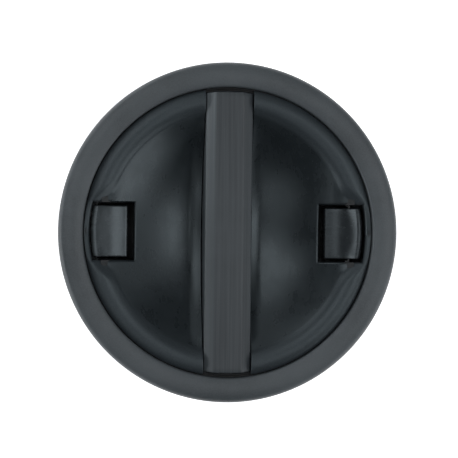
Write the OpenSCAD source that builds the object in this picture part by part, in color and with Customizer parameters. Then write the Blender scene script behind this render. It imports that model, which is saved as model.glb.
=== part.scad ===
// Round desk grommet with a quarter-turn cap.
// A press-in liner sits in an 80 mm hole. A dished cap with a grip bar drops into the
// liner's rebate, and two sprung latches lock it under a bayonet ledge.
// The origin is the centre of the flange's underside, on the desktop. +Z points up.

/* [Liner] */
// Radius of the flange that covers the hole's edge
flange_r = 45; // [44:0.5:48]
// Height of the flange's crown above the desktop
flange_h = 3.2; // [2.8:0.1:4]
// Radius of the opening in the flange
opening_r = 38.45; // [38.3:0.05:38.6]
// Outer radius of the barrel that goes down the hole
barrel_r = 39.75; // [39.5:0.05:39.9]
// Inner radius of the barrel
bore_r = 37.3; // [37.2:0.05:37.5]
// Depth of the barrel below the desktop
barrel_depth = 28; // [26:1:40]
// Inner radius of the bayonet ledge
ledge_r = 35.3; // [35.2:0.05:35.6]

/* [Cap] */
// Outer radius of the cap's lip
cap_r = 38.1; // [37.9:0.05:38.2]
// Radius at which the dish floor meets the rolled edge
foot_r = 32; // [31.8:0.1:32.3]
// Depth of the dish below the desktop, at its centre
dish_depth = 9.5; // [9.3:0.1:10]
// Height of the rolled edge's crown above the desktop
lip_top = 2.6; // [2.5:0.1:2.8]
// Thickness of the cap's shell
shell_t = 1.9; // [1.7:0.1:2]

/* [Windows] */
// Distance from the axis to a window's inner edge
window_in = 24.7; // [24:0.1:26]
// Radius of a window's outer edge
window_out = 36.7; // [36.4:0.1:36.8]
// Width of a window across the bar's direction
window_w = 15.3; // [14:0.1:16]
// Distance from the axis to the inner end of the facets beside a window
facet_in = 29.7; // [29.4:0.1:30]

/* [Grip bar] */
// Width of the bar
bar_w = 12.4; // [11:0.1:13]
// Width of the bar's flat top
bar_flat_w = 7.4; // [6:0.1:9]
// Height of the bar's flat top above the desktop
bar_top = 2.7; // [2.4:0.1:3]
// Half of the bar's length
bar_half = 37.3; // [36.9:0.1:37.5]

/* [Latches] */
// How far a latch slides inwards
latch_travel = 1.4; // [1.2:0.1:1.5]
// Width of a latch's finger tongue
tongue_w = 12.8; // [12:0.1:13.2]
// Width of the nose that runs under the ledge
nose_w = 8; // [6:0.5:9]
// Radius that the nose reaches
nose_r = 36.5; // [36.3:0.1:36.6]

/* [Hidden] */
$fn = 96;

// Plastics, rubber and steel
rim_colour = [0.15, 0.16, 0.165];
dish_colour = [0.08, 0.085, 0.09];
bar_colour = [0.12, 0.125, 0.13];
latch_colour = [0.2, 0.21, 0.22];
rubber_colour = [0.05, 0.05, 0.05];
steel_colour = [0.7, 0.71, 0.73];

// Flange: a shallow crown with a rounded edge on each side
crown_r = 7;
crown_at = [41.4, flange_h - crown_r];
outer_edge_r = 1.8;
inner_edge_r = 0.8;
outer_edge_at = tangent_circle(flange_r - outer_edge_r, outer_edge_r);
inner_edge_at = tangent_circle(opening_r + inner_edge_r, inner_edge_r);
outer_edge_angle = asin((outer_edge_at[0] - crown_at[0]) / (crown_r - outer_edge_r));
inner_edge_angle = asin((crown_at[0] - inner_edge_at[0]) / (crown_r - inner_edge_r));
// Where the outer rounding meets the desktop
outer_edge_under = acos(-outer_edge_at[1] / outer_edge_r);

// Liner levels
seat_z = 0.4;
groove_w = 1.6;
groove_r = barrel_r - 0.5;
groove_pitch = 4.6;
groove_count = 5;
stop_depth = 2.4;
stop_angle = 5;
lead_in = 1.2;
// How far joined solids reach into each other
bond = 0.5;
// More than any cut has to reach
far = 60;

// Bayonet: a nose enters at 0 and 180 degrees and turns clockwise by a quarter turn
turn_range = 90;
slot_half_angle = 8;
stop_start = 8.6;
stop_r = ledge_r + 0.3;
nose_half_angle = asin(nose_w / 2 / nose_r);
stop_end = turn_range + nose_half_angle + 1.2;

// Cap surfaces: a spherical floor, then a rolled edge that falls again towards the seam
ring_r = 4.45;
ring_at = [35.4, lip_top - ring_r];
foot_z = ring_at[1] + sqrt(ring_r * ring_r - pow(ring_at[0] - foot_r, 2));
floor_rise = foot_z + dish_depth;
floor_r = (foot_r * foot_r + floor_rise * floor_rise) / (2 * floor_rise);
floor_at = [0, floor_r - dish_depth];
lip_bottom = 1;
skirt_out = 36.9;
skirt_in = 35.5;
hollow_foot = 33.2;
// Everything below the skirt passes inside the ledge
inner_limit = ledge_r - 0.4;

// Trough that the bar sits in
bar_gap = 0.15;
bar_foot_z = -dish_depth - 0.7;
bar_foot_half = 33;
bar_end_z = -5.5;
bar_edge_z = 1.3;
trough_bottom = bar_foot_z - 2;
trough_w = bar_w + 3.2;

// Triangular facets cut into the rolled edge beside each window, from the dish floor to the lip
facet_out = 36.7;
facet_foot_half = 12.2;
facet_top_half = 7.9;
facet_z = floor_height(norm([facet_in, window_w / 2]));
facet_apex_z = floor_height(foot_r - 0.1);
facet_top_z = 2;
facet_slope_x = (facet_top_z - facet_z) / (facet_out - facet_in);
facet_slope_y = (facet_apex_z - facet_z) / (facet_foot_half - window_w / 2);
facet_turn = atan2(facet_slope_y, facet_slope_x);
facet_tilt = atan(norm([facet_slope_x, facet_slope_y]));

// Latches
tongue_in = window_in + latch_travel + 0.3;
tongue_out = window_out - 0.4;
neck_in = 27;
neck_w = 10;
slider_in = 16;
slider_out = 34;
slider_w = 14.7;
slider_top = trough_bottom - 0.2;
slider_bottom = slider_top - 3;
nose_top = slider_top + 0.1;
nose_bottom = nose_top - 2.3;
ledge_bottom = nose_top + 0.3;
ledge_top = ledge_bottom + 2;
skirt_bottom = ledge_top + 0.7;
tongue_bottom = ledge_top + 0.4;
tongue_lip_z = -4.6;
ramp_foot = [29.5, -4.2];
ramp_r = 8.2;
ramp_foot_slope = 5;
ramp_end_slope = 45;
ramp_at = ramp_foot + ramp_r * [-sin(ramp_foot_slope), cos(ramp_foot_slope)];
ridge_r = 0.9;
ridge_at = [tongue_out - ridge_r, -2.1];

// Guides, springs and retainer
guide_in = 15;
guide_out = 33.6;
guide_wall = 1.5;
guide_bottom = slider_bottom - 0.2;
shoulder_w = 2.1;
shoulder_out = 24.3;
boss_face = 8.9;
boss_half_w = 3.2;
spring_z = slider_top - 1;
spring_r = 1.8;
spring_wire = 0.5;
spring_turns = 6;
spigot_r = 1.1;
spigot_len = 1.8;
plate_top = guide_bottom - 0.1;
plate_t = 1.8;
plate_w = 32;
post_at = [20, 12.5];
post_r = 2.7;

// Screws
screw_r = 1.25;
screw_hole_r = 1.3;
head_r = 2.6;
head_h = 1.7;
bar_screw_y = 22;
bar_screw_tip = -4;
plate_screw_tip = plate_top + 5.1;

// Centre of a rounding of radius r that touches the crown from inside, at distance x
function tangent_circle(x, r) =
    [x, crown_at[1] + sqrt(pow(crown_r - r, 2) - pow(x - crown_at[0], 2))];
// Height of the dish floor at a distance from the axis
function floor_height(r) = floor_at[1] - sqrt(floor_r * floor_r - r * r);
// Points on an arc in a profile, with angles measured from straight up
function arc_points(at, r, from, to, steps) =
    [for (i = [0:steps]) let (a = from + (to - from) * i / steps) at + r * [sin(a), cos(a)]];
// Angles and heights along a helix that lies on X
function helix_point(t, turns, r, len) = [t * len, r * cos(t * turns * 360), r * sin(t * turns * 360)];

// A solid wire wound round X, from x = 0 to x = len
module coil_spring(len, r, wire_r, turns) {
    sides = 6;
    steps = turns * 16;
    rings = [for (i = [0:steps]) let (
        t = i / steps,
        c = helix_point(t, turns, r, len),
        a = t * turns * 360,
        out = [0, cos(a), sin(a)]
    ) for (k = [0:sides - 1]) let (b = k * 360 / sides) c + wire_r * (cos(b) * out + [sin(b), 0, 0])];
    walls = [for (i = [0:steps - 1], k = [0:sides - 1]) let (
        j = (k + 1) % sides
    ) [i * sides + k, i * sides + j, (i + 1) * sides + j, (i + 1) * sides + k]];
    first = [for (k = [sides - 1:-1:0]) k];
    last = [for (k = [0:sides - 1]) steps * sides + k];
    polyhedron(rings, concat([first], walls, [last]));
}

// A pan-head screw that points up, with its head's top face at z = 0
module pan_screw(len) {
    cylinder(r = screw_r, h = len - 0.6);
    translate([0, 0, len - 0.6]) cylinder(r1 = screw_r, r2 = 0.5, h = 0.6);
    difference() {
        union() {
            translate([0, 0, -head_h + 0.5]) cylinder(r = head_r, h = head_h - 0.5);
            translate([0, 0, -head_h]) cylinder(r1 = head_r - 0.5, r2 = head_r, h = 0.5);
        }
        for (a = [0, 90])
            rotate([0, 0, a]) translate([-1.5, -0.3, -head_h - 1]) cube([3, 0.6, 1.9]);
    }
}

// ---- Liner ----

module flange_profile() {
    polygon(concat(
        [[opening_r, seat_z]],
        arc_points(inner_edge_at, inner_edge_r, -90, -inner_edge_angle, 8),
        arc_points(crown_at, crown_r, -inner_edge_angle, outer_edge_angle, 16),
        arc_points(outer_edge_at, outer_edge_r, outer_edge_angle, outer_edge_under, 12),
        [[barrel_r, 0], [barrel_r - bond, 0], [barrel_r - bond, seat_z]]
    ));
}

module barrel_profile() {
    difference() {
        polygon([
            [bore_r, seat_z], [bore_r, -barrel_depth], [barrel_r - lead_in, -barrel_depth],
            [barrel_r, -barrel_depth + lead_in], [barrel_r, 0], [barrel_r, seat_z]
        ]);
        for (i = [1:groove_count])
            translate([groove_r, -i * groove_pitch - groove_w]) square([far, groove_w]);
    }
}

// Part of a ring on the bore's wall, between two angles and two levels
module bore_sector(from, to, inner, bottom, top) {
    rotate([0, 0, from]) rotate_extrude(angle = to - from)
        translate([inner, bottom]) square([bore_r + bond - inner, top - bottom]);
}

module liner() color(rim_colour) {
    rotate_extrude() {
        flange_profile();
        barrel_profile();
    }
    for (side = [0, 180]) rotate([0, 0, side]) {
        bore_sector(slot_half_angle, 180 - slot_half_angle, ledge_r, ledge_bottom, ledge_top);
        bore_sector(stop_start, stop_start + stop_angle, stop_r, ledge_bottom - stop_depth, ledge_bottom + bond);
        bore_sector(-stop_end - stop_angle, -stop_end, stop_r, ledge_bottom - stop_depth, ledge_bottom + bond);
    }
}

// A flat ring with two low ridges that the cap's lip rests over
module seal_ring() color(rubber_colour) rotate_extrude() translate([bore_r + 0.1, seat_z]) polygon([
    [0, 0], [0.95, 0], [0.95, 0.3], [0.8, 0.55], [0.6, 0.55],
    [0.475, 0.3], [0.35, 0.55], [0.15, 0.55], [0, 0.3]
]);

// ---- Cap ----

// Everything under the cap's top surface, down to its lowest level at each radius
module cap_envelope_profile() {
    difference() {
        translate([0, plate_top]) square([foot_r, foot_z - plate_top]);
        translate(floor_at) circle(r = floor_r, $fn = 360);
    }
    intersection() {
        union() {
            translate(ring_at) circle(r = ring_r);
            translate([foot_r - 1, plate_top]) square([far, ring_at[1] - plate_top]);
        }
        translate([foot_r - 0.001, 0]) polygon([
            [0, plate_top], [inner_limit - foot_r, plate_top], [inner_limit - foot_r, skirt_bottom],
            [skirt_out - foot_r, skirt_bottom], [skirt_out - foot_r, lip_bottom],
            [cap_r - foot_r, lip_bottom], [cap_r - foot_r, far], [0, far]
        ]);
    }
}

// The hollow under the shell
module cap_hollow_profile() {
    difference() {
        translate([0, -far]) square([hollow_foot, far]);
        translate(floor_at) circle(r = floor_r + shell_t, $fn = 360);
    }
    intersection() {
        union() {
            translate(ring_at) circle(r = ring_r - shell_t);
            translate([foot_r, -far]) square([far, far + ring_at[1]]);
        }
        translate([ring_at[0] - ring_r + shell_t, -far])
            square([skirt_in - ring_at[0] + ring_r - shell_t, 2 * far]);
    }
}

// What is cut away above the facet on the +Y side of the right window
module facet_cut() intersection() {
    translate([0, 0, -far]) linear_extrude(2 * far) polygon([
        [facet_in, 0], [facet_out, 0], [facet_out, facet_top_half], [facet_in, facet_foot_half]
    ]);
    translate([facet_in, window_w / 2, facet_z]) rotate([0, 0, facet_turn]) rotate([0, -facet_tilt, 0])
        translate([-far, -far, 0]) cube(2 * far);
}

// Walls that guide the right latch, and the boss that its spring pushes on
module latch_guides() {
    for (side = [-1, 1]) {
        translate([guide_in, side * (window_w + guide_wall) / 2 - guide_wall / 2, guide_bottom])
            cube([guide_out - guide_in, guide_wall, far]);
        translate([guide_in, side * (window_w - shoulder_w) / 2 - shoulder_w / 2, slider_top + 0.3])
            cube([shoulder_out - guide_in, shoulder_w, far]);
    }
    translate([trough_w / 2 - bond, -boss_half_w, guide_bottom])
        cube([boss_face - trough_w / 2 + bond, 2 * boss_half_w, far]);
}

module spring_spigot(x, direction) {
    translate([x, 0, spring_z]) rotate([0, 90 * direction, 0]) cylinder(r = spigot_r, h = spigot_len, $fn = 32);
}

module at_posts() {
    for (x = [-1, 1], y = [-1, 1]) translate([x * post_at[0], y * post_at[1], 0]) children();
}

module at_bar_screws() {
    for (y = [-1, 1]) translate([0, y * bar_screw_y, 0]) children();
}

module both_sides() {
    children();
    rotate([0, 0, 180]) children();
}

// Shell with the bar's trough, the latch guides and the screw posts under it
module cap_shell() difference() {
    rotate_extrude() cap_envelope_profile();
    difference() {
        rotate_extrude() cap_hollow_profile();
        translate([-trough_w / 2, -far, trough_bottom]) cube([trough_w, 2 * far, far]);
        both_sides() latch_guides();
        at_posts() translate([0, 0, plate_top - 1]) cylinder(r = post_r, h = far);
    }
    both_sides() {
        facet_cut();
        mirror([0, 1, 0]) facet_cut();
    }
}

module cap_dish() color(dish_colour) difference() {
    union() {
        cap_shell();
        both_sides() spring_spigot(boss_face - bond, 1);
    }
    // Channel for the grip bar
    translate([-bar_w / 2 - bar_gap, -far, bar_end_z]) cube([bar_w + 2 * bar_gap, 2 * far, far]);
    translate([-bar_w / 2 - bar_gap, -bar_foot_half - bar_gap, bar_foot_z])
        cube([bar_w + 2 * bar_gap, 2 * (bar_foot_half + bar_gap), far]);
    // Windows
    both_sides() intersection() {
        translate([window_in, -window_w / 2, -far]) cube([far, window_w, 2 * far]);
        translate([0, 0, -far]) cylinder(r = window_out, h = 2 * far);
    }
    // Screw holes
    at_bar_screws() translate([0, 0, -far]) cylinder(r = screw_hole_r, h = far, $fn = 48);
    at_posts() translate([0, 0, -far]) cylinder(r = screw_hole_r, h = far + plate_screw_tip + 0.3, $fn = 48);
}

module grip_bar() color(bar_colour) difference() {
    intersection() {
        union() {
            translate([0, bar_half, 0]) rotate([90, 0, 0]) linear_extrude(2 * bar_half) polygon([
                [-bar_w / 2, bar_end_z], [bar_w / 2, bar_end_z], [bar_w / 2, bar_edge_z],
                [bar_flat_w / 2, bar_top], [-bar_flat_w / 2, bar_top], [-bar_w / 2, bar_edge_z]
            ]);
            translate([-bar_w / 2, -bar_foot_half, bar_foot_z])
                cube([bar_w, 2 * bar_foot_half, bar_end_z - bar_foot_z + bond]);
        }
        union() {
            translate([0, 0, lip_bottom]) cylinder(r = bar_half, h = far);
            translate([0, 0, -far]) cylinder(r = skirt_out, h = far + lip_bottom);
        }
    }
    at_bar_screws() translate([0, 0, bar_foot_z - 1])
        cylinder(r = screw_hole_r, h = bar_screw_tip + 0.3 - bar_foot_z + 1, $fn = 48);
}

module bar_screws() color(steel_colour)
    at_bar_screws() translate([0, 0, trough_bottom]) pan_screw(bar_screw_tip - trough_bottom);

module retainer_plate() color(dish_colour) difference() {
    translate([0, 0, plate_top - plate_t]) intersection() {
        cylinder(r = inner_limit - 0.4, h = plate_t);
        translate([-far, -plate_w / 2, 0]) cube([2 * far, plate_w, plate_t]);
    }
    at_posts() translate([0, 0, -far]) cylinder(r = screw_hole_r + 0.2, h = far, $fn = 48);
}

module plate_screws() color(steel_colour)
    at_posts() translate([0, 0, plate_top - plate_t]) pan_screw(plate_screw_tip - plate_top + plate_t);

// ---- Latches ----

// Side view of the finger tongue: a ramp that curls up to a rounded ridge
module tongue_profile() {
    difference() {
        union() {
            polygon([
                [tongue_in, tongue_bottom], [tongue_out, tongue_bottom], [tongue_out, ridge_at[1]], ridge_at,
                ramp_at + ramp_r * [sin(ramp_end_slope), -cos(ramp_end_slope)], ramp_foot,
                [tongue_in + 0.4, tongue_lip_z], [tongue_in, tongue_lip_z - 0.4]
            ]);
            translate(ridge_at) circle(r = ridge_r);
        }
        translate(ramp_at) circle(r = ramp_r);
    }
}

module latch() color(latch_colour) {
    intersection() {
        translate([0, tongue_w / 2, 0]) rotate([90, 0, 0]) linear_extrude(tongue_w) tongue_profile();
        translate([0, 0, -far]) cylinder(r = tongue_out, h = 2 * far);
    }
    translate([neck_in, -neck_w / 2, slider_bottom])
        cube([slider_out - neck_in, neck_w, tongue_bottom - slider_bottom + bond]);
    translate([slider_in, -slider_w / 2, slider_bottom])
        cube([slider_out - slider_in, slider_w, slider_top - slider_bottom]);
    spring_spigot(slider_in + 0.2, -1);
    // Nose with a sloped underside, so that the cap can be pressed straight in
    intersection() {
        translate([0, nose_w / 2, 0]) rotate([90, 0, 0]) linear_extrude(nose_w) polygon([
            [slider_out - bond, nose_bottom], [slider_out + 1, nose_bottom], [nose_r, nose_bottom + 1.2],
            [nose_r, nose_top], [slider_out - bond, nose_top]
        ]);
        translate([0, 0, -far]) cylinder(r = nose_r, h = 2 * far);
    }
}

module latch_spring() color(steel_colour)
    translate([boss_face + spring_wire, 0, spring_z])
        coil_spring(slider_in - boss_face - 2 * spring_wire, spring_r, spring_wire / 2, spring_turns);

module latch_right() latch();
module latch_left() rotate([0, 0, 180]) latch();
module latch_spring_right() latch_spring();
module latch_spring_left() rotate([0, 0, 180]) latch_spring();

liner();
seal_ring();
cap_dish();
grip_bar();
bar_screws();
retainer_plate();
plate_screws();
latch_left();
latch_right();
latch_spring_left();
latch_spring_right();
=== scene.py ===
"""Looks of a desk grommet: a matte flange round a dished cap with a grip bar and two latches.

The visible mouldings are rebuilt with rounded edges and soft blends where part.scad has sharp
ones, at the same sizes and places. The tongues are 0.4 mm wider at each side than there, and
the dish has a low rise beside the bar. Lengths below are in millimetres, in the part's frame.
"""

import math

import bmesh
import bpy
import numpy as np
from mathutils import Matrix, Vector


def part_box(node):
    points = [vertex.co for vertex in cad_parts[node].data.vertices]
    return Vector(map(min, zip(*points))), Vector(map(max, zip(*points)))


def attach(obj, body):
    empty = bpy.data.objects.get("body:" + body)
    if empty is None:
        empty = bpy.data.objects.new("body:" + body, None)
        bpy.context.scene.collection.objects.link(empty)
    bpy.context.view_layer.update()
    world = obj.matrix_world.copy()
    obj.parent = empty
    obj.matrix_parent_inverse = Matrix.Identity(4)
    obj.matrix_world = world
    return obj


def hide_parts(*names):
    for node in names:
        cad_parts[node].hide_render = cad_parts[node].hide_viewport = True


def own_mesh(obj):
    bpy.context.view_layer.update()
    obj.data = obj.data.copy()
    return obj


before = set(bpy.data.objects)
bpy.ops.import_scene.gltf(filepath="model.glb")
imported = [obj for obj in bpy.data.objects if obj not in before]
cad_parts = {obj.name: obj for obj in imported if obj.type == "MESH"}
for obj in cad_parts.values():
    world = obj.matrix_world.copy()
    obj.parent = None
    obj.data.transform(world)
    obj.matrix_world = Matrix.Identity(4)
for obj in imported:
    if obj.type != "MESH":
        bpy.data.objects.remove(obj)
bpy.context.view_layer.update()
MM = 0.001

# ------------------------------------------------- sizes, as in part.scad but for TONGUE_W

OPENING_R = 38.45
BORE_R = 37.3
BARREL_R = 39.75
SEAT_Z = 0.4
CROWN_R = 7.0
CROWN_X = 41.4
OUTER_EDGE_R = 1.8
INNER_EDGE_R = 0.8
LEDGE_R = 35.3
LEDGE_BOTTOM = -12.0
LEDGE_TOP = -10.0
SLOT_HALF_ANGLE = 8.0
STOPS = ((8.6, 13.6), (-102.5, -97.5))
STOP_DEPTH = 2.4
GROOVES = 5
GROOVE_PITCH = 4.6
GROOVE_W = 1.6
GROOVE_DEPTH = 0.5
BARREL_CHAMFER = 1.2

CAP_R = 38.1
FOOT_R = 32.0
DISH_DEPTH = 9.5
LIP_TOP = 2.6
LIP_BOTTOM = 1.0
SHELL_T = 1.9
RING_X = 35.4
RING_R = 4.45
RING_Z = LIP_TOP - RING_R
FOOT_Z = RING_Z + math.sqrt(RING_R ** 2 - (RING_X - FOOT_R) ** 2)
SKIRT_OUT = 36.9
SKIRT_IN = 35.5
SKIRT_BOTTOM = -9.3
SKIRT_ARCS = ((12.3, 79.7), (100.3, 167.7), (192.3, 259.7), (280.3, 347.7))

WINDOW_IN = 24.7
WINDOW_OUT = 36.7
WINDOW_W = 15.3
FACET_IN = 29.7
FACET_OUT = 36.7
FACET_FOOT_HALF = 12.2
FACET_TOP_HALF = 7.9
FACET_TOP_Z = 2.0

BAR_W = 12.4
BAR_FLAT_W = 7.4
BAR_TOP = 2.7
BAR_EDGE_Z = 1.3
BAR_HALF = 37.3
BAR_STRAIGHT_HALF = 36.8
BAR_GAP = 0.15
BAR_FOOT_HALF = 33.0
BAR_FOOT_Z = -10.2
BAR_END_Z = -5.5
TROUGH_W = 15.6
TROUGH_BOTTOM = -12.2
TROUGH_HALF = 34.2

TONGUE_IN = 26.4
TONGUE_OUT = 36.3
TONGUE_W = 13.6
TONGUE_BOTTOM = -9.6
TONGUE_LIP_Z = -4.6
TONGUE_BEND_X = 31.2
TONGUE_FLAT_HALF = 5.6
TONGUE_CURVE_FROM = 31
TONGUE_CURVE_OVER = 4.0
RIDGE_R = 0.9
RIDGE_Z = -2.1
SLIDER_IN = 16.0
SLIDER_OUT = 34.0
SLIDER_HALF = 7.35
SLIDER_TOP = -12.4
SLIDER_BOTTOM = -15.4
SLIDER_PIN = 2.1
STEM_IN = 27.0
STEM_HALF = 5.0
STEM_TOP = -9.2
NOSE_R = 36.5
NOSE_HALF = 4.0
# Reach and height of the nose's corners: flat on top, with a slope underneath
NOSE_SECTION = ((33.5, -14.6), (35, -14.6), (36.3, -13.6), (36.5, -13.3),
                (36.5, -12.5), (36.3, -12.3), (33.5, -12.3))

GUIDE_IN = 15
GUIDE_OUT = 33.6
GUIDE_T = 1.5
GUIDE_BOTTOM = -15.6
KEEPER_OUT = 24.3
KEEPER_W = 2.1
BOSS_FACE = 8.9
BOSS_BACK = 7.4
BOSS_HALF = 3.2
BOSS_PIN = 1.6
PIN_R = 1.1
POST_X = 20
POST_Y = 12.5
POST_R = 2.7
POST_INNER = 0.885
SPRING_Z = -13.4
SPRING_R = 1.8
SPRING_WIRE_R = 0.25
SPRING_TURNS = 7
SPRING_GAP = 0.05
# How far a shape reaches into the next one that it is joined to
SINK = 0.3

FLANGE_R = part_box("liner")[1].x / MM
FLANGE_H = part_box("liner")[1].z / MM
BARREL_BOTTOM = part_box("liner")[0].z / MM

# ---------------------------------------------------------------- small tools


def arc(at, r, start, end, steps):
    """Points on an arc in a profile, with angles in degrees measured from straight up."""
    angles = np.radians(np.linspace(start, end, steps + 1))
    return [(at[0] + r * math.sin(a), at[1] + r * math.cos(a)) for a in angles]


def new_object(name, bm, material, smooth_angle=35):
    """Makes an object of a bmesh in millimetres, smooth except at edges sharper than the angle."""
    bmesh.ops.remove_doubles(bm, verts=bm.verts, dist=1e-5)
    bmesh.ops.recalc_face_normals(bm, faces=bm.faces)
    bmesh.ops.scale(bm, vec=(MM, MM, MM), verts=bm.verts)
    limit = math.radians(smooth_angle)
    for face in bm.faces:
        face.smooth = True
    for edge in bm.edges:
        if len(edge.link_faces) == 2:
            edge.smooth = edge.calc_face_angle(0) < limit
    mesh = bpy.data.meshes.new(name)
    bm.to_mesh(mesh)
    bm.free()
    mesh.materials.append(material)
    obj = bpy.data.objects.new(name, mesh)
    bpy.context.scene.collection.objects.link(obj)
    return obj


def bridge(bm, rings):
    """Joins each ring of vertices to the next with a band of faces."""
    for a, b in zip(rings, rings[1:]):
        for j in range(len(a)):
            k = (j + 1) % len(a)
            bm.faces.new((a[j], a[k], b[k], b[j]))


def close_ends(bm, rings):
    bm.faces.new(rings[0])
    bm.faces.new(rings[-1])


def add_lathe(bm, loop, start=0.0, end=360.0, segments=240):
    """Adds a ring, or part of one, turned from a closed loop of (radius, height) points."""
    sweep = end - start
    whole = sweep >= 360
    count = segments if whole else max(2, int(segments * sweep / 360) + 1)
    rings = []
    for i in range(count if whole else count + 1):
        a = math.radians(start + sweep * i / count)
        rings.append([bm.verts.new((r * math.cos(a), r * math.sin(a), z)) for r, z in loop])
    if whole:
        rings.append(rings[0])
    else:
        close_ends(bm, rings)
    bridge(bm, rings)


def add_block(bm, low, high, bevel=0.25):
    """Adds a box with rounded edges."""
    made = bmesh.ops.create_cube(bm, size=1)["verts"]
    for v in made:
        v.co = Vector((low[i] + (v.co[i] + 0.5) * (high[i] - low[i]) for i in range(3)))
    edges = list(dict.fromkeys(e for v in made for e in v.link_edges))
    bmesh.ops.bevel(bm, geom=edges, offset=bevel, segments=2, affect="EDGES", profile=0.5)


# ---------------------------------------------------------------- materials


class Nodes:
    """A short way to write a material's node tree."""

    def __init__(self, name):
        self.material = bpy.data.materials.new(name)
        self.material.use_nodes = True
        self.tree = self.material.node_tree
        self.shader = self.tree.nodes["Principled BSDF"]

    def add(self, kind, inputs=None, **settings):
        node = self.tree.nodes.new(kind)
        for key, value in settings.items():
            setattr(node, key, value)
        for key, value in (inputs or {}).items():
            if isinstance(value, bpy.types.NodeSocket):
                self.tree.links.new(value, node.inputs[key])
            else:
                node.inputs[key].default_value = value
        return node

    def link(self, socket, target):
        self.tree.links.new(socket, self.shader.inputs[target])

    def noise(self, scale, detail=2.0, rough=0.5, stretch=(1, 1, 1), seed=0.0):
        """Noise with scale in waves per metre, along the part's own axes."""
        place = self.add("ShaderNodeTexCoord")
        turn = self.add("ShaderNodeMapping", {"Vector": place.outputs["Object"], "Scale": stretch,
                                              "Location": (seed, seed * 0.7, seed * 1.3)})
        return self.add("ShaderNodeTexNoise", {"Vector": turn.outputs[0], "Scale": scale,
                                               "Detail": detail, "Roughness": rough}).outputs[0]

    def span(self, value, low, high, out_low, out_high):
        return self.add("ShaderNodeMapRange", {"Value": value, "From Min": low, "From Max": high,
                                               "To Min": out_low, "To Max": out_high}).outputs[0]

    def mix(self, factor, a, b):
        node = self.add("ShaderNodeMix", data_type="RGBA")
        self.tree.links.new(factor, node.inputs[0])
        for socket, value in ((node.inputs[6], a), (node.inputs[7], b)):
            if isinstance(value, bpy.types.NodeSocket):
                self.tree.links.new(value, socket)
            else:
                socket.default_value = (*value, 1)
        return node.outputs[2]

    def sum(self, a, b, weight=1.0):
        return self.add("ShaderNodeMath", {0: b, 1: weight, 2: a}, operation="MULTIPLY_ADD").outputs[0]

    def bump(self, height, distance, strength=1.0):
        node = self.add("ShaderNodeBump", {"Height": height, "Distance": distance, "Strength": strength})
        self.link(node.outputs[0], "Normal")


def rim_plastic():
    """Matte moulding with a fine spark-eroded grain and slow changes of tone."""
    n = Nodes("rim_plastic")
    grain = n.noise(2600, 3, 0.6)
    cloud = n.noise(34, 4, 0.6, seed=3.1)
    tone = n.mix(n.span(cloud, 0.36, 0.64, 0, 1), (0.035, 0.041, 0.045), (0.066, 0.075, 0.081))
    n.link(n.mix(n.span(grain, 0.35, 0.65, 0, 0.3), tone, (0.092, 0.102, 0.109)), "Base Color")
    n.link(n.span(n.sum(cloud, grain, 0.5), 0.4, 1.1, 0.38, 0.52), "Roughness")
    n.bump(grain, 0.00006, 0.6)
    return n.material


def dish_plastic():
    """Black moulding: a smooth dish floor, and a finely textured rolled edge and lip."""
    n = Nodes("dish_plastic")
    wave = n.noise(38, 2, 0.5, seed=1.7)
    haze = n.noise(120, 4, 0.6, seed=5.2)
    hair = n.noise(900, 2, 0.5, stretch=(1, 0.12, 1), seed=7.7)
    grain = n.noise(2600, 3, 0.6)
    place = n.add("ShaderNodeSeparateXYZ", {0: n.add("ShaderNodeTexCoord").outputs["Object"]})
    level = place.outputs[2]
    lip = n.span(level, (FOOT_Z - 0.5) * MM, (FOOT_Z + 0.3) * MM, 0, 1)
    floor_tone = n.mix(n.span(haze, 0.3, 0.75, 0, 1),
                       (0.0105, 0.0135, 0.0155), (0.0165, 0.0205, 0.0230))
    lip_tone = n.mix(n.span(grain, 0.35, 0.65, 0, 1), (0.016, 0.020, 0.023), (0.025, 0.030, 0.034))
    n.link(n.mix(lip, floor_tone, lip_tone), "Base Color")
    gloss = n.span(n.sum(haze, hair, 0.4), 0.5, 1.0, 0.24, 0.36)
    n.link(n.add("ShaderNodeMix", {0: lip, 2: gloss, 3: 0.4}).outputs[0], "Roughness")
    n.shader.inputs["Specular Tint"].default_value = (0.85, 0.96, 1.0, 1)
    n.bump(n.sum(wave, hair, 0.02), 0.0006, 0.35)
    return n.material


def dish_under():
    """The same black moulding where it is left dull and grained."""
    n = Nodes("dish_plastic_grained")
    grain = n.noise(1500, 3, 0.6)
    cloud = n.noise(80, 3, 0.55, seed=2.6)
    n.link(n.mix(n.span(cloud, 0.3, 0.7, 0, 1), (0.009, 0.010, 0.011), (0.016, 0.018, 0.019)), "Base Color")
    n.link(n.span(grain, 0.3, 0.7, 0.55, 0.75), "Roughness")
    n.bump(grain, 0.00008, 0.5)
    return n.material


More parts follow.
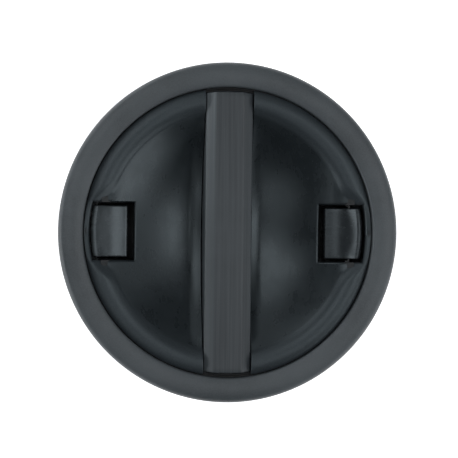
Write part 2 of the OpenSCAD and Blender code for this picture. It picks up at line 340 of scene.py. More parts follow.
def bar_plastic():
    """Satin moulding with fine draw marks along the bar; painted highlights make its middle lighter than
    its darker ends and its left bevel lighter towards the +Y end.
    """
    n = Nodes("bar_plastic")
    streak = n.noise(1500, 3, 0.6, stretch=(1, 0.015, 1), seed=2.2)
    cloud = n.noise(90, 3, 0.5, seed=9.1)
    tone = n.mix(n.span(cloud, 0.3, 0.7, 0, 1), (0.029, 0.035, 0.039), (0.041, 0.048, 0.053))
    place = n.add("ShaderNodeSeparateXYZ", {0: n.add("ShaderNodeTexCoord").outputs["Object"]})
    reach = n.add("ShaderNodeMath", {0: place.outputs[1]}, operation="ABSOLUTE").outputs[0]
    # Painted highlight: the left bevel is lighter, more so towards the +Y end.
    painted_left_bevel_highlight = n.span(n.sum(place.outputs[0], streak, 0.0008), -0.0036, -0.0030, 1, 0)
    painted_left_bevel_highlight = n.add("ShaderNodeMath", {0: painted_left_bevel_highlight, 1: n.span(place.outputs[1], 0, 0.036, 0.25, 1)},
                    operation="MULTIPLY").outputs[0]
    # Painted highlight: the bar is lighter in its middle and darker towards both ends.
    painted_middle_highlight = n.span(n.sum(reach, cloud, 0.012), 0.012, 0.034, 1, 0)
    tone = n.mix(painted_middle_highlight, (0.025, 0.030, 0.034), tone)
    tone = n.mix(painted_left_bevel_highlight, tone, (0.120, 0.134, 0.142))
    n.link(n.mix(n.span(streak, 0.4, 0.65, 0, 0.5), tone, (0.060, 0.069, 0.075)), "Base Color")
    n.link(n.span(n.sum(streak, cloud, 0.6), 0.5, 1.1, 0.36, 0.52), "Roughness")
    n.bump(streak, 0.00005, 0.5)
    return n.material


def latch_plastic():
    """Dark grey glossy moulding with a blotchy tone; painted light makes the left latch lighter and painted
    shade makes the right one darker.
    """
    n = Nodes("latch_plastic")
    rub = n.noise(160, 4, 0.6, seed=4.4)
    hair = n.noise(1400, 2, 0.5, stretch=(0.1, 1, 1), seed=6.1)
    place = n.add("ShaderNodeSeparateXYZ", {0: n.add("ShaderNodeTexCoord").outputs["Object"]})
    across = place.outputs[0]
    # Painted light and shade: the left latch gets a lighter tone than the right.
    right_shaded_tone = n.mix(n.span(rub, 0.35, 0.7, 0, 1), (0.018, 0.021, 0.023), (0.028, 0.032, 0.035))
    left_lit_tone = n.mix(n.span(rub, 0.35, 0.7, 0, 1), (0.034, 0.039, 0.042), (0.062, 0.070, 0.075))
    n.link(n.mix(n.span(across, -0.02, 0.02, 1, 0), right_shaded_tone, left_lit_tone), "Base Color")
    n.link(n.span(n.sum(rub, hair, 0.5), 0.5, 1.1, 0.2, 0.36), "Roughness")
    n.shader.inputs["Specular Tint"].default_value = (0.86, 0.96, 1.0, 1)
    n.bump(n.sum(rub, hair, 0.15), 0.0001, 0.4)
    return n.material


def ring_rubber():
    """Dull black rubber."""
    n = Nodes("ring_rubber")
    grain = n.noise(1800, 3, 0.6)
    n.link(n.mix(grain, (0.010, 0.010, 0.011), (0.022, 0.022, 0.023)), "Base Color")
    n.link(n.span(grain, 0.3, 0.7, 0.7, 0.9), "Roughness")
    n.bump(grain, 0.00008, 0.5)
    return n.material


def plated_steel(name, low, high):
    """Bright plating with faint drawing marks, and its roughness from low to high."""
    n = Nodes(name)
    cloud = n.noise(400, 3, 0.6, seed=1.1)
    hair = n.noise(3000, 2, 0.5, stretch=(1, 1, 0.1), seed=2.9)
    n.link(n.mix(n.span(cloud, 0.3, 0.7, 0, 1), (0.50, 0.51, 0.53), (0.66, 0.66, 0.66)), "Base Color")
    n.link(n.span(n.sum(cloud, hair, 0.4), 0.5, 1.0, low, high), "Roughness")
    n.shader.inputs["Metallic"].default_value = 1.0
    n.bump(hair, 0.00003, 0.4)
    return n.material


RIM = rim_plastic()
DISH = dish_plastic()
DISH_UNDER = dish_under()
BAR = bar_plastic()
LATCH = latch_plastic()
RUBBER = ring_rubber()
SCREW = plated_steel("screw_steel", 0.28, 0.45)
SPRING = plated_steel("spring_steel", 0.2, 0.34)

# ---------------------------------------------------------------- liner


def tangent_circle(x, r):
    """Centre of a rounding that touches the flange's crown from inside."""
    low = FLANGE_H - CROWN_R
    return x, low + math.sqrt((CROWN_R - r) ** 2 - (x - CROWN_X) ** 2)


def make_liner():
    """The flange and grooved barrel, with the ledge and its stops inside."""
    outer = tangent_circle(FLANGE_R - OUTER_EDGE_R, OUTER_EDGE_R)
    inner = tangent_circle(OPENING_R + INNER_EDGE_R, INNER_EDGE_R)
    outer_angle = math.degrees(math.asin((outer[0] - CROWN_X) / (CROWN_R - OUTER_EDGE_R)))
    inner_angle = math.degrees(math.asin((CROWN_X - inner[0]) / (CROWN_R - INNER_EDGE_R)))
    under = math.degrees(math.acos(-outer[1] / OUTER_EDGE_R))
    loop = [(BORE_R, SEAT_Z), (OPENING_R, SEAT_Z)]
    loop += arc(inner, INNER_EDGE_R, -90, -inner_angle, 10)
    loop += arc((CROWN_X, FLANGE_H - CROWN_R), CROWN_R, -inner_angle, outer_angle, 28)[1:]
    loop += arc(outer, OUTER_EDGE_R, outer_angle, under, 18)[1:]
    loop += [(BARREL_R, 0)]
    soft = 0.15
    for i in range(1, GROOVES + 1):
        top = -i * GROOVE_PITCH
        for z in (top, top - GROOVE_W):
            way = 1 if z == top else -1
            a, b = (BARREL_R, z + way * soft), (BARREL_R - soft, z)
            c, d = (BARREL_R - GROOVE_DEPTH + soft, z), (BARREL_R - GROOVE_DEPTH, z - way * soft)
            loop += [a, b, c, d] if z == top else [d, c, b, a]
    edge = 0.3
    loop += [(BARREL_R, BARREL_BOTTOM + BARREL_CHAMFER), (BARREL_R - BARREL_CHAMFER, BARREL_BOTTOM)]
    loop += [(BORE_R + edge, BARREL_BOTTOM), (BORE_R, BARREL_BOTTOM + edge)]
    bm = bmesh.new()
    add_lathe(bm, loop, segments=300)
    in_wall = BORE_R + 0.5
    ledge_edge = 0.2
    ledge = [(LEDGE_R + ledge_edge, LEDGE_TOP), (in_wall, LEDGE_TOP), (in_wall, LEDGE_BOTTOM),
             (LEDGE_R + ledge_edge, LEDGE_BOTTOM), (LEDGE_R, LEDGE_BOTTOM + ledge_edge),
             (LEDGE_R, LEDGE_TOP - ledge_edge)]
    stop_in, stop_top, stop_bottom = LEDGE_R + edge, LEDGE_BOTTOM + edge, LEDGE_BOTTOM - STOP_DEPTH
    stop = [(stop_in, stop_top), (in_wall, stop_top), (in_wall, stop_bottom),
            (stop_in + edge, stop_bottom), (stop_in, stop_bottom + edge)]
    for turn in (0, 180):
        add_lathe(bm, ledge, turn + SLOT_HALF_ANGLE, turn + 180 - SLOT_HALF_ANGLE)
        for start, end in STOPS:
            add_lathe(bm, stop, turn + start, turn + end)
    return new_object("liner_moulding", bm, RIM)


# ---------------------------------------------------------------- cap

FLOOR_RISE = FOOT_Z + DISH_DEPTH
FLOOR_R = (FOOT_R ** 2 + FLOOR_RISE ** 2) / (2 * FLOOR_RISE)
FLOOR_Z = FLOOR_R - DISH_DEPTH
FILLET = 0.8
LIP_EDGE_R = 0.25
WINDOW_EDGE_R = 0.6
CHANNEL_EDGE_R = 0.3
MIN_WALL = 0.4
# How softly a facet starts: how far before FACET_IN and over what width it fades in, the width
# of its sloping edge, and the height over which it meets the dish
FACET_EASE = 2.4
FACET_EASE_W = 1.6
FACET_SWEEP = 3.2
FACET_SOFT = 0.7
# The low rise beside the bar's channel, which fades before the rolled edge
RISE_H = 1.0
RISE_W = 3.4
RISE_POWER = 1.6
RISE_END_R = FOOT_R + 0.4
RISE_FADE = 5
# The underside changes from the floor's ball to the rolled edge's ring between these radii
UNDER_RING_R = 32.9
UNDER_BALL_R = 33.4
# Where the top is cut so that its roundings have points to bend at
CAP_SEGMENTS = 420
ROLL_STEPS = (0, 0.06, 0.16, 0.3, 0.45, 0.6)
CHANNEL_STEPS = (0, 0.04, 0.1, 0.19, 0.3, 0.8, 1.4, 2.1, 2.8, 3.4)
FACET_STEPS = (-2.4, -1.8, -1.2, -0.6, 0, 0.6)


def floor_height(r):
    """Height of the dish's floor, part of a ball, at a distance from the axis."""
    return FLOOR_Z - np.sqrt(FLOOR_R ** 2 - r ** 2)


def crease_fillet():
    """Centre of the small rounding between the dish floor and the rolled edge."""
    a, b = FLOOR_R - FILLET, RING_R + FILLET
    dx, dz = RING_X, RING_Z - FLOOR_Z
    d = math.hypot(dx, dz)
    along = (a * a - b * b + d * d) / (2 * d)
    off = math.sqrt(a * a - along * along)
    ux, uz = dx / d, dz / d
    options = [(ux * along + s * uz * off, FLOOR_Z + uz * along - s * ux * off) for s in (1, -1)]
    return min(options, key=lambda p: p[0])


def dish_profile():
    """The cap's top surface as (radius, height) points from the axis out to the lip's edge."""
    cx, cz = crease_fillet()
    end_r = cx * FLOOR_R / (FLOOR_R - FILLET)
    points = [(r, float(floor_height(r))) for r in np.linspace(0, end_r, 52)]
    floor_dir = math.degrees(math.atan2(cx, -(cz - FLOOR_Z)))
    to_ring = math.degrees(math.atan2(RING_X - cx, RING_Z - cz))
    points += arc((cx, cz), FILLET, 180 - floor_dir, to_ring, 8)[1:]
    start = math.degrees(math.atan2(cx - RING_X, cz - RING_Z))
    edge = (CAP_R - LIP_EDGE_R, 0)
    end = math.degrees(math.asin((edge[0] - RING_X) / (RING_R - LIP_EDGE_R)))
    edge = (edge[0], RING_Z + (RING_R - LIP_EDGE_R) * math.cos(math.radians(end)))
    points += arc((RING_X, RING_Z), RING_R, start, end, 30)[1:]
    points += arc(edge, LIP_EDGE_R, end, 85, 5)[1:]
    return points


PROFILE = dish_profile()
PROFILE_R = np.array([p[0] for p in PROFILE])
PROFILE_Z = np.array([p[1] for p in PROFILE])


def smooth_max(a, b, k):
    """The larger of two heights, rounded where they differ by less than k."""
    h = np.clip(k - np.abs(a - b), 0, None) / k
    return np.maximum(a, b) + h * h * k / 4


def smooth_step(x):
    """From 0 to 1 with flat ends."""
    x = np.clip(x, 0, 1)
    return x * x * (3 - 2 * x)


def window_distance(x, y):
    """Distance outside a window's edge, in plan; negative inside."""
    ax, ay, r = np.abs(x), np.abs(y), np.hypot(x, y)
    dx = WINDOW_IN - ax
    dy = ay - WINDOW_W / 2
    side = np.where((dx > 0) & (dy > 0), np.hypot(dx, dy), np.maximum(dx, dy))
    return np.maximum(side, r - WINDOW_OUT)


def rolled(d, r):
    """How far an edge rounding of radius r drops at a distance d from the edge."""
    t = np.clip(r - d, 0, r)
    return r - np.sqrt(r * r - t * t)


def top_height(x, y):
    """The cap's top surface: dish, rolled edge, facets beside the windows, rise by the bar."""
    ax, ay, r = np.abs(x), np.abs(y), np.hypot(x, y)
    base = np.interp(r, PROFILE_R, PROFILE_Z)
    facet_z = floor_height(math.hypot(FACET_IN, WINDOW_W / 2))
    slope_x = (FACET_TOP_Z - facet_z) / (FACET_OUT - FACET_IN)
    slope_y = (floor_height(FOOT_R - 0.1) - facet_z) / (FACET_FOOT_HALF - WINDOW_W / 2)
    facet = facet_z + slope_x * (ax - FACET_IN) + slope_y * (ay - WINDOW_W / 2)
    lean = (FACET_FOOT_HALF - FACET_TOP_HALF) / (FACET_OUT - FACET_IN)
    inside = (FACET_FOOT_HALF - lean * (ax - FACET_IN) - ay) / math.hypot(1, lean)
    weight = smooth_step(inside / FACET_SWEEP + 0.5)
    weight = weight * smooth_step((ax - FACET_IN + FACET_EASE) / FACET_EASE_W)
    z = base - smooth_max(base - facet, 0, FACET_SOFT) * weight
    beside = np.clip((ax - BAR_W / 2 - BAR_GAP) / RISE_W, 0, 1)
    z = z + RISE_H * (1 - beside) ** RISE_POWER * smooth_step((RISE_END_R - r) / RISE_FADE)
    z = z - rolled(window_distance(x, y), WINDOW_EDGE_R)
    return z - rolled(ax - BAR_W / 2 - BAR_GAP, CHANNEL_EDGE_R)


def under_height(r):
    """The shell's underside, and the lip's beyond the skirt."""
    if r > SKIRT_IN:
        return LIP_BOTTOM
    ball = FLOOR_Z - math.sqrt((FLOOR_R + SHELL_T) ** 2 - min(r, UNDER_BALL_R) ** 2)
    if r <= UNDER_RING_R:
        return ball
    ring = RING_R - SHELL_T
    return max(ball, RING_Z + math.sqrt(max(ring ** 2 - (RING_X - r) ** 2, 0)))


def crosses(face, axis, at):
    values = [v.co[axis] for v in face.verts]
    return min(values) < at < max(values)


def cut_along(bm, axis, at):
    """Cuts the faces that cross a line of constant x or y."""
    faces = [f for f in bm.faces if crosses(f, axis, at)]
    geom = list(dict.fromkeys(part for f in faces for part in (*f.verts, *f.edges))) + faces
    normal = (1, 0, 0) if axis == 0 else (0, 1, 0)
    bmesh.ops.bisect_plane(bm, geom=geom, dist=1e-6, plane_no=normal,
                           plane_co=tuple(at * n for n in normal))


def add_cap_shell(bm):
    """The dish and lip as one closed shell, with the channel and windows left open."""
    radii = [round(float(r), 4) for r in PROFILE_R[1:]] + [SKIRT_IN]
    radii += [WINDOW_OUT + d for d in ROLL_STEPS]
    radii += [FACET_IN + 0.25 * i for i in range(14)]
    radii = sorted(set(radii))
    radii = [radii[0]] + [b for a, b in zip(radii, radii[1:]) if b - a > 0.02 or b == WINDOW_OUT]
    channel_half = BAR_W / 2 + BAR_GAP
    ways = [(math.cos(2 * math.pi * i / CAP_SEGMENTS), math.sin(2 * math.pi * i / CAP_SEGMENTS))
            for i in range(CAP_SEGMENTS)]
    flat = bmesh.new()
    centre = flat.verts.new((0, 0, 0))
    rings = [[flat.verts.new((r * c, r * s, 0)) for c, s in ways] for r in radii]
    for a, b in zip(rings[0], rings[0][1:] + rings[0][:1]):
        flat.faces.new((centre, a, b))
    for a, b in zip(rings, rings[1:]):
        for i in range(CAP_SEGMENTS):
            j = (i + 1) % CAP_SEGMENTS
            flat.faces.new((a[i], b[i], b[j], a[j]))
    cuts = [(0, s * (channel_half + d)) for s in (-1, 1) for d in CHANNEL_STEPS]
    cuts += [(0, s * (WINDOW_IN - d)) for s in (-1, 1) for d in ROLL_STEPS]
    cuts += [(1, s * (WINDOW_W / 2 + d)) for s in (-1, 1) for d in ROLL_STEPS]
    cuts += [(0, s * (FACET_IN + d)) for s in (-1, 1) for d in FACET_STEPS]
    for axis, at in cuts:
        cut_along(flat, axis, at)
    gone = []
    for f in flat.faces:
        c = f.calc_center_median()
        if abs(c.x) < channel_half or window_distance(np.array(c.x), np.array(c.y)) < 0:
            gone.append(f)
    bmesh.ops.delete(flat, geom=gone, context="FACES")
    verts = list(flat.verts)
    x = np.array([v.co.x for v in verts])
    y = np.array([v.co.y for v in verts])
    top = top_height(x, y)
    index = {v: i for i, v in enumerate(verts)}
    up = [bm.verts.new((x[i], y[i], top[i])) for i in range(len(verts))]
    down = [bm.verts.new((x[i], y[i], min(under_height(math.hypot(x[i], y[i])), top[i] - MIN_WALL)))
            for i in range(len(verts))]
    for f in flat.faces:
        ids = [index[v] for v in f.verts]
        bm.faces.new([up[i] for i in ids])
        bm.faces.new([down[i] for i in reversed(ids)])
    for e in flat.edges:
        if len(e.link_faces) == 1:
            a, b = (index[v] for v in e.verts)
            bm.faces.new((up[a], up[b], down[b], down[a]))
    flat.free()


def make_cap():
    bm = bmesh.new()
    add_cap_shell(bm)
    return new_object("cap_moulding", bm, DISH, smooth_angle=40)


# ---------------------------------------------------------------- grip bar

BAR_CORNER_R = 0.35
# The rounding of the bar's ends: how far in from the end, and how much smaller the section is
BAR_END_STEPS = ((0.0, 0.3), (0.04, 0.17), (0.12, 0.08), (0.3, 0.0))


def add_bar(bm):
    """The bar, and below it the shorter block that fills the channel."""
    w, f = BAR_W / 2, BAR_FLAT_W / 2
    corners = [(-w, BAR_EDGE_Z), (-f, BAR_TOP), (f, BAR_TOP), (w, BAR_EDGE_Z)]
    section = round_corners([(-w, BAR_END_Z)] + corners + [(w, BAR_END_Z)], BAR_CORNER_R)
    rings = [bar_ring(bm, section, -1, inset, shrink) for inset, shrink in BAR_END_STEPS]
    for t in np.linspace(-1, 1, 60)[1:-1]:
        rings.append([bm.verts.new((x, t * BAR_STRAIGHT_HALF, z)) for x, z in section])
    rings += [bar_ring(bm, section, 1, inset, shrink) for inset, shrink in reversed(BAR_END_STEPS)]
    bridge(bm, rings)
    close_ends(bm, rings)
    add_block(bm, (-w, -BAR_FOOT_HALF, BAR_FOOT_Z), (w, BAR_FOOT_HALF, BAR_END_Z + 0.5), 0.2)


def bar_ring(bm, section, side, inset, shrink):
    """One section near the bar's end, which is an arc round the cap's axis."""
    ring = []
    for x, z in section:
        top = max(0.0, min(1.0, (z - BAR_END_Z) / (BAR_TOP - BAR_END_Z)))
        px = x * (1 - shrink / (BAR_W / 2))
        pz = z - shrink * top
        reach = BAR_HALF if z > LIP_BOTTOM else SKIRT_OUT
        ring.append(bm.verts.new((px, side * (math.sqrt(reach ** 2 - px ** 2) - inset), pz)))
    return ring


def round_corners(points, r, steps=5):
    """An open outline whose inner corners are rounded by short curves."""
    out = [points[0]]
    for before, at, after in zip(points, points[1:], points[2:]):
        p, a, b = Vector(at), Vector(before) - Vector(at), Vector(after) - Vector(at)
        start, end = p + a.normalized() * r, p + b.normalized() * r
        for i in range(steps + 1):
            t = i / steps
            q = start * (1 - t) ** 2 + p * 2 * t * (1 - t) + end * t * t
            out.append((q.x, q.y))
    return out + [points[-1]]


def make_bar():
    bm = bmesh.new()
    add_bar(bm)
    return new_object("bar_moulding", bm, BAR)


# ---------------------------------------------------------------- ribs under the cap


RIB_SINK = 1.0
RIB_END_R = 35.0
RIB_STEP = 1.5


def floor_inside(x, y):
    """A level inside the shell's thickness, where the ribs end."""
    r = min(math.hypot(x, y), RIB_END_R)
    return float(np.interp(r, PROFILE_R, PROFILE_Z)) - RIB_SINK


def add_strip(bm, x0, x1, y0, y1, bottom, along_x, top=None):
    """A rib whose top follows the dish floor, or is flat where a level is given."""
    count = max(2, int((x1 - x0 if along_x else y1 - y0) / RIB_STEP))
    rings = []
    for i in range(count + 1):
        t = i / count
        if along_x:
            x = x0 + (x1 - x0) * t
            corners = [(x, y0), (x, y1)]
        else:
            y = y0 + (y1 - y0) * t
            corners = [(x0, y), (x1, y)]
        (ax, ay), (bx, by) = corners
        a_top = floor_inside(ax, ay) if top is None else top
        b_top = floor_inside(bx, by) if top is None else top
        rings.append([bm.verts.new(p) for p in
                      ((ax, ay, bottom), (bx, by, bottom), (bx, by, b_top), (ax, ay, a_top))])
    bridge(bm, rings)
    close_ends(bm, rings)


def add_rod(bm, centre, axis, r, length, sides=40, soft=0.15):
    """A cylinder with softened ends."""
    axis = Vector(axis)
    u = axis.orthogonal().normalized()
    v = axis.cross(u)
    rings = []
    for along, radius in ((0, r - soft), (soft, r), (length - soft, r), (length, r - soft)):
        rings.append([bm.verts.new(Vector(centre) + axis * along
                                   + (u * math.cos(2 * math.pi * i / sides)
                                      + v * math.sin(2 * math.pi * i / sides)) * radius)
                      for i in range(sides)])
    bridge(bm, rings)
    close_ends(bm, rings)


def make_ribs():
    """Everything under the dish: bar trough, spring bosses, latch guides, screw posts, skirt."""
    bm = bmesh.new()
    inner, outer = BAR_W / 2 + BAR_GAP, TROUGH_W / 2
    end = BAR_FOOT_HALF + BAR_GAP
    side_half = TROUGH_HALF - 0.3
    for s in (-1, 1):
        low, high = sorted((s * inner, s * outer))
        add_strip(bm, low, high, -side_half, side_half, TROUGH_BOTTOM, False)
        low, high = sorted((s * end, s * TROUGH_HALF))
        add_strip(bm, -outer, outer, low, high, TROUGH_BOTTOM, True, top=BAR_END_Z)
        low, high = sorted((s * BOSS_BACK, s * BOSS_FACE))
        add_strip(bm, low, high, -BOSS_HALF, BOSS_HALF, GUIDE_BOTTOM, False)
        add_rod(bm, (s * (BOSS_FACE - SINK), 0, SPRING_Z), (s, 0, 0), PIN_R, BOSS_PIN)
        for t in (-1, 1):
            y0, y1 = sorted((t * WINDOW_W / 2, t * (WINDOW_W / 2 + GUIDE_T)))
            x0, x1 = sorted((s * GUIDE_IN, s * GUIDE_OUT))
            add_strip(bm, x0, x1, y0, y1, GUIDE_BOTTOM, True)
            y0, y1 = sorted((t * (WINDOW_W / 2 - KEEPER_W), t * WINDOW_W / 2))
            x0, x1 = sorted((s * GUIDE_IN, s * KEEPER_OUT))
            add_strip(bm, x0, x1, y0, y1, SLIDER_TOP + SINK, True)
            x, y = s * POST_X, t * POST_Y
            # The floor is lowest over a post's inner side, so the post is as high as fits there
            post_top = floor_inside(x * POST_INNER, y * POST_INNER)
            post_bottom = GUIDE_BOTTOM - 0.1
            add_rod(bm, (x, y, post_bottom), (0, 0, 1), POST_R, post_top - post_bottom)
    add_strip(bm, -outer, outer, -TROUGH_HALF, TROUGH_HALF, TROUGH_BOTTOM, False, top=BAR_FOOT_Z)
    soft = 0.3
    skirt = [(SKIRT_IN, LIP_BOTTOM + soft), (SKIRT_OUT, LIP_BOTTOM + soft),
             (SKIRT_OUT, SKIRT_BOTTOM + soft), (SKIRT_OUT - soft, SKIRT_BOTTOM),
             (SKIRT_IN + soft, SKIRT_BOTTOM), (SKIRT_IN, SKIRT_BOTTOM + soft)]
    for start, stop in SKIRT_ARCS:
        add_lathe(bm, skirt, start, stop)
    return new_object("cap_ribs", bm, DISH_UNDER, smooth_angle=30)


# ---------------------------------------------------------------- latches


def tongue_outline():
    """Side view of the finger tongue: a hollow that sweeps up to a rounded ridge."""
    chamfer, lip_r, steps = 0.3, 0.5, 24
    points = [(TONGUE_IN, TONGUE_BOTTOM), (TONGUE_OUT - chamfer, TONGUE_BOTTOM),
              (TONGUE_OUT, TONGUE_BOTTOM + chamfer)]
    points += arc((TONGUE_OUT - RIDGE_R, RIDGE_Z), RIDGE_R, 90, -42, 14)
    top = points[-1]
    foot = (TONGUE_IN + lip_r, TONGUE_LIP_Z)
    bend = (TONGUE_BEND_X, TONGUE_LIP_Z + 0.25)
    for i in range(1, steps + 1):
        t = i / steps
        q = [top[k] * (1 - t) ** 2 + bend[k] * 2 * t * (1 - t) + foot[k] * t * t for k in (0, 1)]
        points.append(tuple(q))
    points += arc((foot[0], foot[1] - lip_r), lip_r, 0, -90, 5)[1:]
    return points


def inset_outline(points, d):
    """The outline moved inwards by d, for an outline that runs anticlockwise."""
    out = []
    for i, p in enumerate(points):
        a, b = Vector(points[i - 1]), Vector(points[(i + 1) % len(points)])
        along = (b - a).normalized()
        out.append((p[0] - along.y * d, p[1] + along.x * d))
    return out


def make_tongue(name, side):
    """The finger tongue: its outline swept across, with rounded sides and a curved outer end."""
    outline = tongue_outline()
    soft = 0.35
    angles = [math.radians(15 * i) for i in range(7)]
    ends = [(TONGUE_W / 2 - soft + soft * math.sin(a), soft * (1 - math.cos(a))) for a in angles]
    middle = [(y, 0) for y in np.linspace(-TONGUE_FLAT_HALF, TONGUE_FLAT_HALF, 13)]
    rows = [(-y, d) for y, d in reversed(ends)] + middle + ends
    bm = bmesh.new()
    rings = []
    for y, d in rows:
        ring = []
        pull = TONGUE_OUT - math.sqrt(TONGUE_OUT ** 2 - y * y)
        for x, z in inset_outline(outline, d):
            x -= pull * smooth_step(np.array((x - TONGUE_CURVE_FROM) / TONGUE_CURVE_OVER))
            ring.append(bm.verts.new((side * x, side * y, z)))
        rings.append(ring)
    bridge(bm, rings)
    close_ends(bm, rings)
    return new_object(name, bm, LATCH, smooth_angle=50)


def make_slider(name, side):
    """The part of a latch under the cap: slide, stem, spring pin and nose."""
    bm = bmesh.new()

    def block(x0, x1, half, z0, z1):
        low, high = sorted((side * x0, side * x1))
        add_block(bm, (low, -half, z0), (high, half, z1))

    block(SLIDER_IN, SLIDER_OUT, SLIDER_HALF, SLIDER_BOTTOM, SLIDER_TOP)
    block(STEM_IN, SLIDER_OUT, STEM_HALF, SLIDER_BOTTOM + SINK, STEM_TOP)
    add_rod(bm, (side * (SLIDER_IN + SINK), 0, SPRING_Z), (-side, 0, 0), PIN_R, SLIDER_PIN)
    rings = []
    for y in np.linspace(-NOSE_HALF, NOSE_HALF, 9):
        pull = NOSE_R - math.sqrt(NOSE_R ** 2 - y * y)
        rings.append([bm.verts.new((side * (x - (pull if x > SLIDER_OUT else 0)), y, z))
                      for x, z in NOSE_SECTION])
    bridge(bm, rings)
    close_ends(bm, rings)
    return new_object(name, bm, DISH_UNDER, smooth_angle=40)


def make_spring(name, side):
    """A coil of round wire between the boss and the slider, with a closed turn at each end."""
    steps, sides = 300, 10
    start, end = BOSS_FACE + SPRING_WIRE_R, SLIDER_IN - SPRING_WIRE_R - SPRING_GAP
    closed = 2 * SPRING_WIRE_R + 0.03
    knots_t = [0, 1, SPRING_TURNS - 1, SPRING_TURNS]
    knots_x = [start, start + closed, end - closed, end]
    path = []
    for i in range(steps + 1):
        turn = SPRING_TURNS * i / steps
        x = float(np.interp(turn, knots_t, knots_x))
        a = 2 * math.pi * turn
        path.append(Vector((side * x, SPRING_R * math.cos(a), SPRING_Z + side * SPRING_R * math.sin(a))))
    bm = bmesh.new()
    rings = []
    for i, p in enumerate(path):
        along = (path[min(i + 1, steps)] - path[max(i - 1, 0)]).normalized()
        u = (Vector((0, p.y, p.z - SPRING_Z)) / SPRING_R).normalized()
        v = along.cross(u).normalized()
        rings.append([bm.verts.new(p + (u * math.cos(2 * math.pi * j / sides)
                                        + v * math.sin(2 * math.pi * j / sides)) * SPRING_WIRE_R)
                      for j in range(sides)])
    bridge(bm, rings)
    close_ends(bm, rings)
    return new_object(name, bm, SPRING, smooth_angle=50)


# ---------------------------------------------------------------- pieces on their bodies

camera_data = bpy.data.cameras.new("camera")
camera = bpy.data.objects.new("camera", camera_data)
bpy.context.scene.collection.objects.link(camera)
bpy.context.scene.camera = camera

liner = make_liner()
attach(liner, "liner")
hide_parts("liner")

cap = make_cap()
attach(cap, "cap")
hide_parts("cap_dish")

ribs = make_ribs()
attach(ribs, "cap")
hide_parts("cap_dish")

for name, side in (("latch_left", -1), ("latch_right", 1)):
    for piece in (make_tongue(name + "_tongue", side), make_slider(name + "_slider", side)):
        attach(piece, name)
        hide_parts(name)

for name, side in (("left", -1), ("right", 1)):
    spring = make_spring("spring_" + name, side)
    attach(spring, "cap")
    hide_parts("latch_spring_" + name)
    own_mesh(spring)

bar = make_bar()
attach(bar, "cap")
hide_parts("grip_bar")

FINISH = {
    "seal_ring": RUBBER, "bar_screws": SCREW, "plate_screws": SCREW, "retainer_plate": RIM,
}
for node, material in FINISH.items():
    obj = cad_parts[node]
    obj.data.materials.clear()
    obj.data.materials.append(material)

# ---------------------------------------------------------------- floor, light and camera


FLOOR_HALF = 1.5
FLOOR_GAP = 0.0005


def add_floor():
    """A white floor just below the barrel, lit up outside it so that it stays pale."""
    bm = bmesh.new()
    bmesh.ops.create_grid(bm, x_segments=1, y_segments=1, size=FLOOR_HALF)
    bmesh.ops.translate(bm, verts=bm.verts, vec=(0, 0, BARREL_BOTTOM * MM - FLOOR_GAP))
    mesh = bpy.data.meshes.new("floor")
    bm.to_mesh(mesh)
    bm.free()
    floor = bpy.data.objects.new("floor", mesh)
    bpy.context.scene.collection.objects.link(floor)
    n = Nodes("floor_white")
    place = n.add("ShaderNodeSeparateXYZ", {0: n.add("ShaderNodeTexCoord").outputs["Object"]})
    flat = n.add("ShaderNodeCombineXYZ", {0: place.outputs[0], 1: place.outputs[1]})
    reach = n.add("ShaderNodeVectorMath", {0: flat.outputs[0]}, operation="LENGTH").outputs["Value"]
    n.shader.inputs["Base Color"].default_value = (0.93, 0.93, 0.93, 1)
    n.shader.inputs["Roughness"].default_value = 0.9
    n.shader.inputs["Emission Color"].default_value = (1, 1, 1, 1)
    n.link(n.span(reach, BORE_R * MM, BARREL_R * MM, 0, 0.9), "Emission Strength")
    mesh.materials.append(n.material)


LIGHT_TINT = (0.96, 1.0, 1.035)
LIGHT_DISTANCE = 1.0


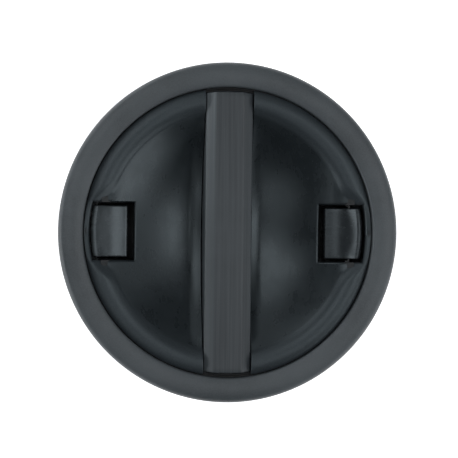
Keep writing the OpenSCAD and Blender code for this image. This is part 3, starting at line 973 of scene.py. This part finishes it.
def add_light(name, azimuth, off_vertical, size, radiance):
    """A square soft light, placed by its direction from the object."""
    data = bpy.data.lights.new(name, "AREA")
    data.shape = "SQUARE"
    data.size = size
    data.energy = radiance * math.pi * size * size
    data.color = LIGHT_TINT
    a, t = math.radians(azimuth), math.radians(off_vertical)
    way = Vector((math.cos(a) * math.sin(t), math.sin(a) * math.sin(t), math.cos(t)))
    light = bpy.data.objects.new(name, data)
    light.location = way * LIGHT_DISTANCE
    light.rotation_euler = way.to_track_quat("Z", "Y").to_euler()
    bpy.context.scene.collection.objects.link(light)


add_floor()
add_light("right", 0, 26, 0.5, 1.85)
add_light("right_wide", 0, 47, 1.0, 0.6)
add_light("left", 135, 26, 0.5, 1.9)
add_light("top", 240, 16, 0.8, 0.45)
add_light("back", 95, 50, 0.7, 0.5)
add_light("front", 222, 30, 0.3, 0.8)
add_light("low_left", 190, 84, 0.7, 3.6)
add_light("low_right", 328, 74, 0.6, 1.9)
add_light("low_back", 132, 82, 0.6, 1.5)

# A faint sky, brighter near the horizon than overhead
world = bpy.data.worlds.new("world")
world.use_nodes = True
tree = world.node_tree
direction = tree.nodes.new("ShaderNodeTexCoord")
split = tree.nodes.new("ShaderNodeSeparateXYZ")
glow = tree.nodes.new("ShaderNodeMapRange")
glow.interpolation_type = "SMOOTHSTEP"
for socket, value in (("From Min", 0.15), ("From Max", 0.36), ("To Min", 0.36), ("To Max", 0.04)):
    glow.inputs[socket].default_value = value
tree.links.new(direction.outputs["Generated"], split.inputs[0])
tree.links.new(split.outputs[2], glow.inputs["Value"])
tree.links.new(glow.outputs[0], tree.nodes["Background"].inputs["Strength"])
tree.nodes["Background"].inputs["Color"].default_value = (*LIGHT_TINT, 1)
bpy.context.scene.world = world
bpy.context.scene.view_settings.view_transform = "Standard"

# The camera, in metres: almost straight above, with a slight tilt and roll
IMAGE = 458
MM_PER_PIXEL = 0.26398
DISTANCE = 0.62
RIM_Z = 0.0025
TILT = math.radians(-5.5)
ROLL = math.radians(0.65)
AIM = Vector((0.00004, 0.0009, RIM_Z))
SENSOR = 36

camera_data.sensor_width = SENSOR
camera_data.lens = SENSOR * DISTANCE / (IMAGE * MM_PER_PIXEL * MM)
camera.location = AIM + DISTANCE * Vector((math.sin(TILT), 0, math.cos(TILT)))
view = (camera.location - AIM).normalized()
right = Vector((math.cos(ROLL), math.sin(ROLL), 0))
right = (right - view * right.dot(view)).normalized()
up = view.cross(right)
camera.rotation_euler = Matrix((right, up, view)).transposed().to_euler()
